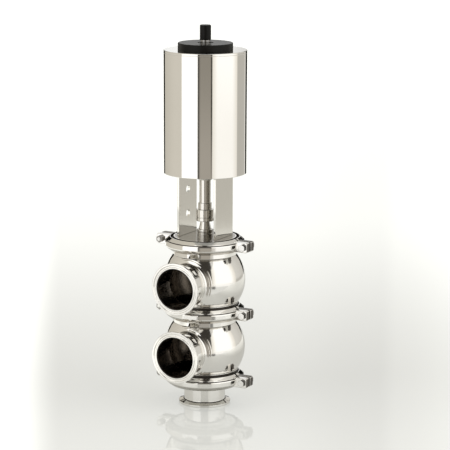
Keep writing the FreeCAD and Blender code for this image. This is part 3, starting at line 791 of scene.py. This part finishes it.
def clamp_shades(obj, mid, half):
    """Painted shade: near-black steel on the ear ends, the gap faces, the rear ear tops, the lip and the crease,
    and darker steel on the flank below.
    """
    place, normal = face_places(obj)
    x, y, up = np.abs(place[:, 0]), np.abs(place[:, 1]), place[:, 2] - mid
    nx, ny, nz = normal.T
    from_axis = np.hypot(x, y)
    # Painted shade on the ear ends, the faces at the gap and the rear ears' tops.
    refinish(obj, (x > ear_reach - 0.1) & (np.abs(nx) > 0.9), cast_skin)
    refinish(obj, (x > EAR_OPEN) & (y < GAP + 0.1) & (np.abs(ny) > 0.9), cast_skin)
    if half == "rear":
        refinish(obj, (x > EAR_TOP) & (np.abs(nz) > 0.8), cast_skin)
    # Painted shade on the lip and in the crease of the crown.
    refinish(obj, from_axis < LIP_R + 0.3, crevice)
    refinish(obj, (from_axis > CREASE_R[0]) & (from_axis < CREASE_R[1]) & (up > CREASE_UP[0])
             & (up < CREASE_UP[1]), crevice)
    # Painted shade on the flank below.
    refinish(obj, (from_axis > LIP_R + 0.3) & (x < FLANK_END) & (nz < -0.35), cast_low)


for n in JOINTS:
    for half, side in (("front", -1), ("rear", 1)):
        node = f"{n}_clamp_{half}"
        obj = piece(node + "_cast", clamp_half(joint_z[n], side), cast, node, caps=True)
        clamp_shades(obj, joint_z[n], half)

# %% [markdown]
# Clamp bolts and nuts
#
# At 5 mm a thread is just visible, and a turned shank with a real helix costs little. The thread's radius
# is a triangle wave of height along the shank minus the angle round it, so one turn climbs by one pitch.

# %% Bolts and nuts
BOLT_X, BOLT_R, PITCH = ear_reach - 5.8, 2.5, 0.8
FLATS, HEAD, NUT, WASHER_R = 8.0, 3.6, 4.4, 4.3


def thread(radius, low, high, columns=28, per_turn=10):
    """Threaded rod about Z: the radius dips by 0.54 pitch times |2 frac(z / pitch - angle / 360) - 1|."""
    rows = int((high - low) / PITCH * per_turn)
    z = np.linspace(low, high, rows + 1)[:, None]
    a = np.linspace(0, 2 * math.pi, columns, endpoint=False)[None, :]
    depth = np.abs(2 * np.mod(z / PITCH - a / (2 * math.pi), 1) - 1)
    lead = np.clip((high - z) / 0.8, 0.0, 1.0)
    r = (radius - 0.54 * PITCH * depth) * (0.8 + 0.2 * lead)
    return np.stack([r * np.cos(a), r * np.sin(a), z + 0 * a], -1)


def bolt_grids(x, mid, way):
    """Head on one side of the ears, thread through the gap and out of the nut on the other side."""
    head = stacked(hex_outline(FLATS), edge_levels(-HEAD, 0.0, 0.4))
    washer = rounded([(0, -0.3), (WASHER_R, -0.3, 0.1), (WASHER_R, 0.0, 0.05), (0, 0.0)], False)
    shank = thread(BOLT_R, 0.0, 2 * EAR_Y + NUT + 1.4)
    origin, direction = (x, -way * EAR_Y, mid), (0, way, 0)
    return [(along(g, origin, direction), False, True) for g in (head, turned(washer, 40), shank)]


def nut_grids(x, mid, way):
    """Nut on its side of the ears, with the small collar that its chamfer leaves."""
    nut = stacked(hex_outline(FLATS), edge_levels(0.0, NUT, 0.5))
    collar = rounded([(0, NUT), (3.1, NUT, 0.1), (2.9, NUT + 0.2, 0.1), (0, NUT + 0.2)], False)
    return [(along(g, (x, way * EAR_Y, mid), (0, way, 0)), False, True) for g in (nut, turned(collar, 40))]


for n in JOINTS:
    bolts, nuts = [], []
    for s in (-1, 1):
        bolts += bolt_grids(s * BOLT_X, joint_z[n], s)
        nuts += nut_grids(s * BOLT_X, joint_z[n], s)
    obj = piece(n + "_clamp_bolts_threaded", bolts, bright_fastener, n + "_clamp_bolts", caps=True)
    place, normal = face_places(obj)
    from_ear = np.abs(place[:, 1]) - EAR_Y
    # Painted shade on the side faces of the bolt heads.
    refinish(obj, (from_ear > 0) & (from_ear < HEAD) & (np.abs(normal[:, 1]) < 0.5), crevice)
    piece(n + "_clamp_nuts_hex", nuts, dull_fastener, n + "_clamp_nuts", caps=True)

# %% [markdown]
# Bonnet and gland
#
# The bonnet closes the upper ball. Its top is a flat disc in which the yoke stands, bright round the edge
# and darker within, where faced steel carries painted shade, and the gland is a round nut in its middle
# that guides the stem.

# %% Bonnet and gland
STEM_R, GLAND_R, BRIGHT_RIM_R = 7.5, 9.65, 37.3
face = joint_z["upper"] + GASKET_HALF
inner = corners("bonnet")[0][2]
loop = [(STEM_R + 4.0, inner, 0.3), (20.0, inner, 0.6), (23.0, inner + 4.0, 0.6), (BOSS_R, inner + 4.0, 0.4),
        (BOSS_R, face, 0.2)] + flange_side(face, 1, BOSS_R)[1:]
loop += [(HUB_R, disc_top, 0.8), (BRIGHT_RIM_R, disc_top, 0.05), (GLAND_R + 0.05, disc_top, 0.1),
         (GLAND_R + 0.05, face, 0.1), (STEM_R + 4.0, face, 0.1)]
obj = lathe("bonnet_turned", loop, mirror, "bonnet")
in_clamp(obj, joint_z["upper"])
place, normal = face_places(obj)
top_face = (normal[:, 2] > 0.95) & (place[:, 2] > disc_top - 0.1)
from_axis = np.hypot(place[:, 0], place[:, 1])
refinish(obj, top_face & (from_axis > BRIGHT_RIM_R), mirror)
# Inside the bright rim the disc is faced steel, darkened as painted shade.
refinish(obj, top_face & (from_axis < BRIGHT_RIM_R), faced)

gland_top = corners("gland")[1][2]
bush_r = STEM_R + 1.3
loop = [(bush_r, face + 0.3, 0.1), (GLAND_R, face + 0.3, 0.2), (GLAND_R, disc_top + 3.4, 0.25),
        (GLAND_R - 0.35, disc_top + 3.8, 0.15), (GLAND_R - 0.35, disc_top + 4.4, 0.15),
        (GLAND_R, disc_top + 4.8, 0.25), (GLAND_R, gland_top, 0.7), (STEM_R + 0.35, gland_top, 0.2),
        (STEM_R + 0.35, gland_top - 1.2, 0.1), (bush_r, gland_top - 1.2, 0.1)]
lathe("gland_turned", loop, machined, "gland", 128)

# %% [markdown]
# Yoke plates
#
# Two flat bars carry the actuator and leave the coupling open to view. The left one has two holes for
# position sensors. The bar is a pad, and the holes are the one place where a boolean is the plain choice:
# flat faces hide its seams.

# %% Yoke
SENSOR_R = 4.7
sensor_z = [disc_top + 25.7, disc_top + 56.1]


def drilled(obj, holes, radius, x, depth):
    """Cuts round holes along X, with the cutters taken away again once their cut is in the mesh."""
    for y, z in holes:
        cutter_mesh = bpy.data.meshes.new("cutter")
        work = bmesh.new()
        bmesh.ops.create_cone(work, cap_ends=True, segments=64, radius1=radius * MM, radius2=radius * MM,
                              depth=depth * MM)
        bmesh.ops.transform(work, matrix=Matrix.Translation((x * MM, y * MM, z * MM))
                            @ Matrix.Rotation(math.radians(90), 4, "Y"), verts=work.verts)
        work.to_mesh(cutter_mesh)
        work.free()
        cutter = bpy.data.objects.new("cutter", cutter_mesh)
        bpy.context.scene.collection.objects.link(cutter)
        cut = obj.modifiers.new("hole", "BOOLEAN")
        cut.object, cut.solver = cutter, "EXACT"
        bpy.context.view_layer.update()
        result = bpy.data.meshes.new_from_object(obj.evaluated_get(bpy.context.evaluated_depsgraph_get()))
        obj.modifiers.remove(cut)
        old, obj.data = obj.data, result
        bpy.data.meshes.remove(old)
        bpy.data.objects.remove(cutter)
        bpy.data.meshes.remove(cutter_mesh)
    obj.data.set_sharp_from_angle(angle=math.radians(30))


for side, node in ((-1, "yoke_left"), (1, "yoke_right")):
    low, high = corners(node)
    half, middle = (high - low) / 2, middle_of(node)
    bar = stacked(box_outline(half[1], half[2], 0.3, 2), edge_levels(-half[0], half[0], 0.35))
    grid = along(bar, middle, (1, 0, 0))
    plate = piece(node + "_plate", [(grid, False, True)], brushed_plate, node, caps=True)
    if side > 0:
        # The right plate's inner face, towards the left plate, gets painted shade.
        refinish(plate, face_places(plate)[1][:, 0] < -0.9, brushed_dull)
    else:
        drilled(plate, [(0.0, z) for z in sensor_z], SENSOR_R, middle[0], 12.0)

# %% [markdown]
# Stem, coupling and rods
#
# These pieces move: the plug in the balls hangs on the valve stem, a split coupling joins the stem to the
# actuator's rod, and a thinner rod carries the knob on top. They ride on the stem's body, so one slide
# joint lifts them all.

# %% Moving rods
cone_low = gland_top + 0.4
cone_high = cone_low + 9.4
couple_low = cone_high + 0.4
couple_mid, couple_top = couple_low + 14.6, couple_low + 22.6
COUPLE_R, COUPLE_LIP, ROD_R, NECK_R, STEM_HEAD_R = 10.95, 8.4, 7.0, 5.6, 7.4
TENON_R, PISTON_SEAT_R, THREAD_R = 6.0, 5.5, 4.9
head = couple_low + 3.6
stem_bottom, shoulder = corners("valve_stem")[0][2], corners("plug")[1][2]
loop = [(0, stem_bottom), (TENON_R, stem_bottom, 0.3), (TENON_R, shoulder, 0.1), (STEM_R, shoulder, 0.3),
        (STEM_R, cone_low, 0.2), (NECK_R, cone_high, 0.2), (NECK_R, head, 0.2), (STEM_HEAD_R, head, 0.3),
        (STEM_HEAD_R, head + 4.4, 0.3), (0, head + 4.4)]
lathe("valve_stem_turned", loop, machined, "valve_stem", 128, "stem_group")

(_, _, rod_low), (_, _, rod_high) = corners("actuator_rod")
piston_low = corners("piston")[0][2]
loop = [(0, rod_low), (ROD_R, rod_low, 0.5), (ROD_R, head + 7.0, 0.2), (NECK_R, head + 7.0, 0.3),
        (NECK_R, head + 10.0, 0.3), (ROD_R, head + 10.0, 0.2), (ROD_R, piston_low, 0.2),
        (PISTON_SEAT_R, piston_low, 0.2), (PISTON_SEAT_R, rod_high - 10.0, 0.2),
        (THREAD_R, rod_high - 9.6, 0.2), (THREAD_R, rod_high, 0.3), (0, rod_high)]
lathe("actuator_rod_turned", loop, machined, "actuator_rod", 128, "stem_group")

# %% Split coupling
COUPLE_TURN, SPLIT = -26.0, 0.5
coupling_loop = [
    (NECK_R + 0.05, couple_low, 0.2), (COUPLE_R, couple_low, 0.6), (COUPLE_R, couple_low + 4.0, 0.2),
    (COUPLE_R - 0.3, couple_low + 4.3, 0.15), (COUPLE_R - 0.3, couple_low + 4.9, 0.15),
    (COUPLE_R, couple_low + 5.2, 0.2), (COUPLE_R, couple_mid, 0.7), (COUPLE_LIP, couple_mid, 0.3),
    (COUPLE_LIP, couple_top, 0.5), (ROD_R + 0.05, couple_top, 0.2), (ROD_R + 0.05, head + 9.9, 0.1),
    (NECK_R + 0.05, head + 9.9, 0.1), (NECK_R + 0.05, head + 7.1, 0.1), (ROD_R + 0.45, head + 7.1, 0.1),
    (ROD_R + 0.45, head, 0.1), (NECK_R + 0.05, head, 0.1)]
lean = math.degrees(math.asin(SPLIT / COUPLE_R))
for part, turn in (("front", 180), ("rear", 0)):
    node = "coupling_" + part
    half = turned(rounded(coupling_loop), 64, turn + lean + COUPLE_TURN, 180 - 2 * lean)
    piece(node + "_turned", [(np.swapaxes(half, 0, 1), False, True)], machined, node, "stem_group", caps=True)

# %% [markdown]
# Actuator
#
# The actuator is a polished cylinder with a turned cover. A hair-fine line shows where the cover meets the
# cylinder. The black cap sits on the cover, and the knob shows how far the piston has risen.

# %% Actuator
TUBE_WALL, INDICATOR_R = 2.1, 5.8
act_in = act_r - TUBE_WALL
loop = [(act_r, act_low, 0.5), (act_r, act_high, 0.35), (act_in, act_high, 0.12), (act_in, act_low, 0.4)]
lathe("actuator_tube_rolled", loop, mirror, "actuator_tube", 256)

cover_bore = INDICATOR_R + 3.2
spigot_r, spigot_low = act_in - 0.05, act_high - 4.0
loop = [(cover_bore, spigot_low, 0.3), (spigot_r, spigot_low, 0.3), (spigot_r, act_high, 0.1),
        (act_r, act_high, 0.35), (act_r, cover_top, 1.0), (cover_bore, cover_top, 0.3)]
obj = lathe("actuator_cover_turned", loop, mirror, "actuator_cover", 256)
# The cover's top gets the lid steel with its painted reflection and shade.
refinish(obj, face_places(obj)[1][:, 2] > 0.9, lid)

(_, _, base_low), (_, _, base_top) = corners("actuator_base")
bush_r = ROD_R + 1.8
loop = [(bush_r, base_low, 0.3), (bush_r + 4.0, base_low, 0.8), (bush_r + 4.0, act_low, 0.3),
        (spigot_r, act_low, 0.3), (spigot_r, base_top, 0.3), (ROD_R + 4.0, base_top, 0.2),
        (ROD_R + 4.0, base_top - 5.0, 0.1), (bush_r, base_top - 5.0, 0.1)]
lathe("actuator_base_turned", loop, alloy, "actuator_base")

(_, _, bush_low), (_, _, bush_top) = corners("rod_bush")
seat_r, bush_bore = ROD_R + 1.75, ROD_R + 0.05
loop = [(bush_bore, bush_low, 0.2), (seat_r - 0.4, bush_low, 0.6), (seat_r - 0.4, bush_low + 4.0, 0.1),
        (seat_r, bush_low + 4.0, 0.1), (seat_r, bush_top, 0.2), (bush_bore, bush_top, 0.2)]
lathe("rod_bush_turned", loop, bush_plastic, "rod_bush", 96)

# %% Cap, indicator rod and knob
(_, _, cap_low), (cap_r, _, cap_top) = corners("cap")
bore = INDICATOR_R + 0.5
loop = [(bore, cap_low, 0.1), (cap_r, cap_low, 0.3), (cap_r, cap_top, 0.9), (bore + 3.4, cap_top, 0.5),
        (bore + 2.6, cap_top - 0.8, 0.3), (bore, cap_top - 0.8, 0.2)]
lathe("cap_moulded", loop, black_plastic, "cap")

SOCKET_R, SOCKET_DEEP, FOOT_R, SPIGOT_R = 4.95, 10.0, 9.0, 4.0
(_, _, foot), (_, _, tip) = corners("indicator_rod")
(_, _, knob_low), (knob_r, _, knob_top) = corners("indicator_knob")
loop = [(0, foot + SOCKET_DEEP), (SOCKET_R, foot + SOCKET_DEEP, 0.1), (SOCKET_R, foot, 0.1),
        (FOOT_R, foot, 0.5), (FOOT_R, foot + 11.0, 0.6), (INDICATOR_R, foot + 14.0, 0.6),
        (INDICATOR_R, knob_low, 0.2), (SPIGOT_R, knob_low, 0.2), (SPIGOT_R, tip, 0.3), (0, tip)]
lathe("indicator_rod_turned", loop, mirror, "indicator_rod", 96, "stem_group")
hole_r, hole_top = SPIGOT_R + 0.05, knob_low + 11.2
loop = [(0, hole_top), (hole_r, hole_top, 0.2), (hole_r, knob_low, 0.1), (knob_r, knob_low, 0.4),
        (knob_r, knob_top, 1.3), (0, knob_top)]
lathe("indicator_knob_moulded", loop, black_plastic, "indicator_knob", 128, "stem_group")

# %% [markdown]
# Return spring
#
# Nothing shows the spring while the actuator is closed, but the piece is kept as a real helix. Its wire is
# a circle carried along the helix, flattened at both ends as ground springs are.

# %% Spring
(_, _, spring_low), (spring_r, _, spring_high) = corners("spring")
WIRE, TURNS = 4.0, 6.5
spring_seat = act_high - 4.3
spring_top = min(spring_high, spring_seat)


def helix_tube(low_z, high_z, steps=780, around=20):
    """Circle of the wire's radius carried up a helix, with heights held between the two ground ends."""
    t = np.linspace(0, 1, steps + 1)[:, None]
    a = 2 * math.pi * TURNS * t
    b = np.linspace(0, 2 * math.pi, around, endpoint=False)[None, :]
    r = spring_r - WIRE + WIRE * np.cos(b)
    z = np.clip(low_z + WIRE / 2 + (high_z - low_z - WIRE) * t + WIRE * np.sin(b), low_z, high_z)
    return np.stack([r * np.cos(a), r * np.sin(a), z], -1)


joint = frame["joints"][0]
wound = helix_tube(spring_low, spring_top)
spring = piece("return_spring_wound", [(wound, False, True)], spring_wire, "spring", caps=True)
spring_length = (spring_top - spring_low) * MM
(spring_length - joint["range_m"][1]) / spring_length
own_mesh(spring)

# %% [markdown]
# What stays as the frame made it
#
# Gaskets, seals, bushes, the piston and the plug are plain turned parts inside. Their CAD meshes are right
# as they are, so they only get the finish of their material; the plug, the seat ring and the stem bush
# get the dark inside steel instead, which is painted shade.

# %% Inner nodes
INNER_FINISHES = [machined, bright_fastener, brushed_plate, spring_wire, alloy, black_plastic, bush_plastic,
                  rubber]
# The plug, the seat ring and the stem bush wear the dark inside steel: painted shade inside the valve.
DARK_INSIDE = ["plug", "seat_ring", "stem_bush"]
finish_for = {slot_of(finish): finish for finish in INNER_FINISHES}
slots = {row["node"]: row["material_slot"] for row in frame["record"]["subparts"]}
kept = [node for node, obj in frame["nodes"].items() if not obj.hide_render]
for node in kept:
    materials = frame["nodes"][node].data.materials
    materials.clear()
    materials.append(pickled if node in DARK_INSIDE else finish_for[slots[node]])
print("kept as CAD nodes:", kept)

# %% [markdown]
# Camera
#
# The picture was taken with a long lens from a little above and to the right of the ports. A camera fitted
# to the round edges of the valve gives its direction, distance and focal length, all named here.

# %% Camera
AZIMUTH, PITCH_DOWN, DISTANCE, ROLL = 29.0, 11.3, 2.6, 0.24
FOCAL_PIXELS, FRAME_PIXELS, SENSOR = 2117.0, 450.0, 36.0
AIM_RIGHT, AIM_HEIGHT = 0.02455, 0.2243

azimuth, pitch = math.radians(AZIMUTH), math.radians(PITCH_DOWN)
right = Vector((math.cos(azimuth), math.sin(azimuth), 0))
ahead = Vector((math.sin(azimuth), -math.cos(azimuth), 0))
towards = ahead * math.cos(pitch) + Vector((0, 0, math.sin(pitch)))
aim = right * AIM_RIGHT + Vector((0, 0, AIM_HEIGHT))
lens = bpy.data.cameras.new("camera")
lens.sensor_width = SENSOR
lens.lens = FOCAL_PIXELS / FRAME_PIXELS * SENSOR
lens.clip_end = 100.0
camera = bpy.data.objects.new("camera", lens)
bpy.context.scene.collection.objects.link(camera)
camera.matrix_world = (Matrix.Translation(aim + towards * DISTANCE)
                       @ towards.to_track_quat("Z", "Y").to_matrix().to_4x4()
                       @ Matrix.Rotation(math.radians(ROLL), 4, "Z"))
bpy.context.scene.camera = camera

# %% [markdown]
# Studio
#
# Polished steel has no look of its own: it shows the room. The room here is the world's colour as a
# function of direction, as a bearing from the camera and a height above the horizon, both in degrees. Two
# tall soft boxes stand left and right of the camera with a grey-brown gap between them, beige walls follow
# at the sides, and narrow black flags behind the valve draw the thin dark outlines of the cylinder. Below
# the horizon, past the table's edge, lies a pale floor with one dark spot.

# %% World
DARK = rgb(0.05, 0.047, 0.042)
GAP_LIGHT, GAP_DIM, GAP_HIGH = rgb(0.46, 0.425, 0.37), rgb(0.33, 0.305, 0.26), rgb(0.05, 0.045, 0.038)
BOX_LEFT, BOX_RIGHT = rgb(1.5, 1.49, 1.46), rgb(1.42, 1.41, 1.37)
BOX_EDGE, BOX_LOW = rgb(1.06, 1.01, 0.91), rgb(1.06, 1.03, 0.97)
LEFT_WALL, LEFT_WALL_BACK = rgb(0.77, 0.73, 0.645), rgb(0.64, 0.605, 0.525)
RIGHT_WALL, RIGHT_WALL_BACK = rgb(0.84, 0.82, 0.77), rgb(0.70, 0.68, 0.63)
RIGHT_WALL_FOOT, RIGHT_WALL_STRIP = rgb(0.60, 0.58, 0.53), rgb(0.93, 0.91, 0.86)
FLAG, BACKDROP, CEILING = rgb(0.004, 0.004, 0.003), rgb(1.02, 1.02, 1.01), rgb(0.42, 0.40, 0.37)
FLOOR, FLOOR_GAP, PAPER = rgb(0.92, 0.92, 0.88), rgb(0.45, 0.43, 0.39), rgb(1.0, 1.0, 0.99)

world = bpy.data.worlds.new("studio")
bpy.context.scene.world = world
tree = Tree(world)
dx, dy, dz = tree.parts(tree.node("ShaderNodeTexCoord", out=0))
to_camera = dx * math.sin(azimuth) - dy * math.cos(azimuth)
to_right = dx * math.cos(azimuth) + dy * math.sin(azimuth)
bearing = to_right.math("ARCTAN2", to_camera) * (180 / math.pi)
height = dz.math("ARCSINE") * (180 / math.pi)
on_right = bearing.between(-1.0, 1.0)
camera_sees = tree.node("ShaderNodeLightPath", out=0)


def window(value, low, high, soft=1.0):
    """1 between two angles and 0 outside, with soft edges."""
    return value.between(low - soft, low + soft) * (1 - value.between(high - soft, high + soft))


left_wall = tree.blend(bearing.between(-152.0, -85.0), LEFT_WALL_BACK, LEFT_WALL)
right_wall = tree.layered(
    RIGHT_WALL, (bearing.between(100.0, 145.0), RIGHT_WALL_BACK),
    (window(height, -12.0, -4.0), RIGHT_WALL_FOOT),
    (window(bearing, 139.5, 160.0) * (1 - height.between(-6.0, -4.0)), RIGHT_WALL_STRIP))
walls = tree.blend(on_right, left_wall, right_wall)

from_front = bearing.math("ABSOLUTE") + 6.0 + window(height, -12.0, -5.0) * on_right
low_flag = from_front.between(152.0, 153.0) * window(height, -11.5, 4.0)
flags = low_flag.math("MAXIMUM", window(from_front, 155.0, 171.0) * window(height, -11.5, 25.0))

left_rim = 1 - bearing.between(-20.0, -11.5)
right_rim = bearing.between(14.5, 17.5) * window(height, -9.5, 90.0, 1.5)
gap = tree.layered(
    GAP_LIGHT, (height.between(-1.0, 34.0), GAP_HIGH), (window(height, -8.2, -5.5, 1.5), GAP_DIM),
    (left_rim.math("MAXIMUM", right_rim), DARK))

slant = 0.95 * (height - 34.0).math("MAXIMUM", 0.0)
left_box = bearing.between(-68.3, -66.7) * (1 - (bearing + slant).between(-21.2, -19.6))
right_box = (bearing - slant).between(19.0, 20.6) * (1 - bearing.between(97.0, 101.0))
right_light = tree.layered(
    BOX_EDGE, (bearing.between(19.0, 36.0), BOX_RIGHT), (bearing.between(78.0, 99.0), BOX_EDGE),
    (0.45 * window(height, -11.5, -7.5, 1.5), BOX_LOW))

floor = tree.blend(window(bearing, -24.0, 18.0, 2.0), FLOOR, FLOOR_GAP)
dark_spot = window(bearing, 19.0, 31.0, 3.0) * window(height, -20.0, -12.5, 2.5)
room = tree.layered(
    BACKDROP, (window(bearing, -172.0, 172.0), walls), (flags, FLAG),
    (window(bearing, -24.0, 23.0, 0.5), gap), (left_box, BOX_LEFT), (right_box, right_light),
    (height.between(76.0, 84.0), CEILING),
    (1 - height.between(-14.5, -12.0), floor), (0.85 * dark_spot, DARK), (camera_sees, PAPER))
tree.ends_with("World", tree.node("ShaderNodeBackground", {}, {"Color": room, "Strength": 1.0}))

# %% [markdown]
# Table
#
# The table is a pale glossy plane. It is narrow near the valve, so that the steel mirrors the room past its
# edges, and wide far behind, where it fills the background of the picture.

# %% Table
TABLE = [(0.24, -0.45), (0.24, 1.0), (-0.4, 1.0), (-1.5, 0.62), (-6.5, 1.25), (-6.5, -1.2), (-1.5, -0.62),
         (-0.4, -0.45)]


def table_finish():
    """White lacquer with a weak mirror, and a glow that is painted light. The glow is dimmest just behind the
    valve, as painted shade, lighter in front, brighter far behind, and raised by the soft boxes left and right of
    the picture. The last term is a slight painted shade at the picture's right, at a fixed slope as the camera
    sees it."""
    material = bpy.data.materials.new("table_top")
    tree = Tree(material)
    spot = tree.place()
    x, y, _ = tree.parts(spot)
    behind = y * math.cos(azimuth) - x * math.sin(azimuth)
    rightwards = x * math.cos(azimuth) + y * math.sin(azimuth)
    slope = (rightwards - AIM_RIGHT) / (behind + DISTANCE * math.cos(pitch))
    # Painted light and painted shade in the table's glow.
    glow = 0.335 + 0.20 * behind.between(0.1, 1.3) + 0.09 * (1 - behind.between(-0.25, 0.15))
    glow = glow + 0.55 * (0 - rightwards - 0.077 * behind).between(0.178, 0.26)
    glow = glow + 0.16 * (rightwards - 0.076 * behind).between(0.22, 0.40)
    glow = glow - 0.045 * slope.between(0.025, 0.068) * (1 - slope.between(0.0745, 0.085))
    tree.ends_with("Material", tree.node("ShaderNodeBsdfPrincipled", {}, {
        "Base Color": rgb(0.40, 0.40, 0.39), "Roughness": 0.012 + 0.02 * tree.noise(spot, 4.0), "IOR": 1.24,
        "Emission Color": tree.vector(glow * 0.985, glow, glow * 0.955), "Emission Strength": 1.0}))
    return material


table_mesh = bpy.data.meshes.new("table")
table_mesh.from_pydata([tuple(ahead * f + right * s) for f, s in TABLE], [], [tuple(range(len(TABLE)))])
table = bpy.data.objects.new("table", table_mesh)
bpy.context.scene.collection.objects.link(table)
table_mesh.materials.append(table_finish())

bpy.context.scene.view_settings.view_transform = "Standard"

# %% Finish
for name, count, open_edges in made:
    print(f"{name}: {count} faces" + (f", {open_edges} open edges" if open_edges else ""))
print("faces in all", sum(count for _, count, _ in made))
